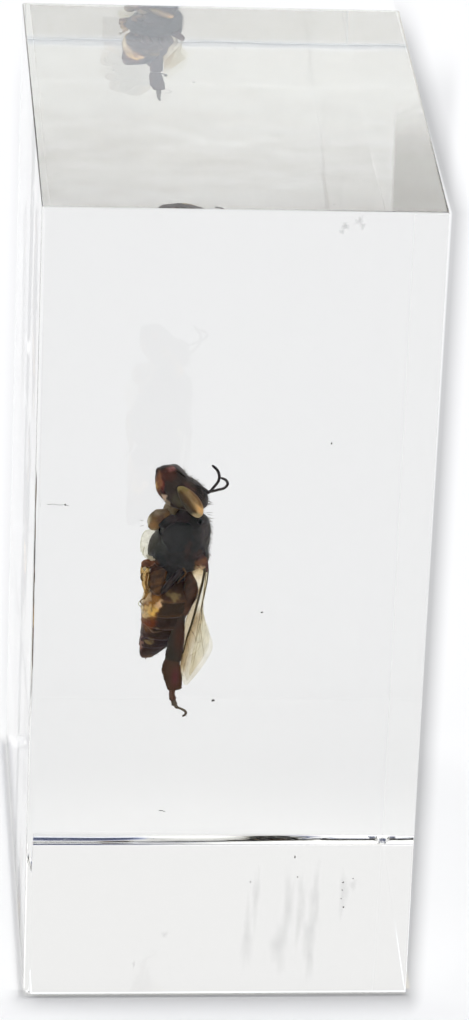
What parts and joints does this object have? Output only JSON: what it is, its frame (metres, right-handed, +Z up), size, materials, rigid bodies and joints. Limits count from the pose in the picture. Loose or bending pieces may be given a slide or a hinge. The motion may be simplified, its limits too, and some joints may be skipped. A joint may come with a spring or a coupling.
{
  "type": "insect in resin block",
  "caption": "Upright clear cast-resin block with softened polished edges, with a dried honeybee sealed in the middle, for display on a desk or shelf.",
  "frame": {"origin": "middle of the base, on the surface that the block stands on", "axes": "+Z up along the block's length, -Y out of the viewing face, +X to the viewer's right"},
  "size_m": [0.0254, 0.0354, 0.0552],
  "materials": {
    "clear_resin": "water-clear polyester casting resin, ground and polished, index about 1.56"
  },
  "bodies": {
    "root": {"resin_block": "clear_resin"}
  },
  "joints": []
}
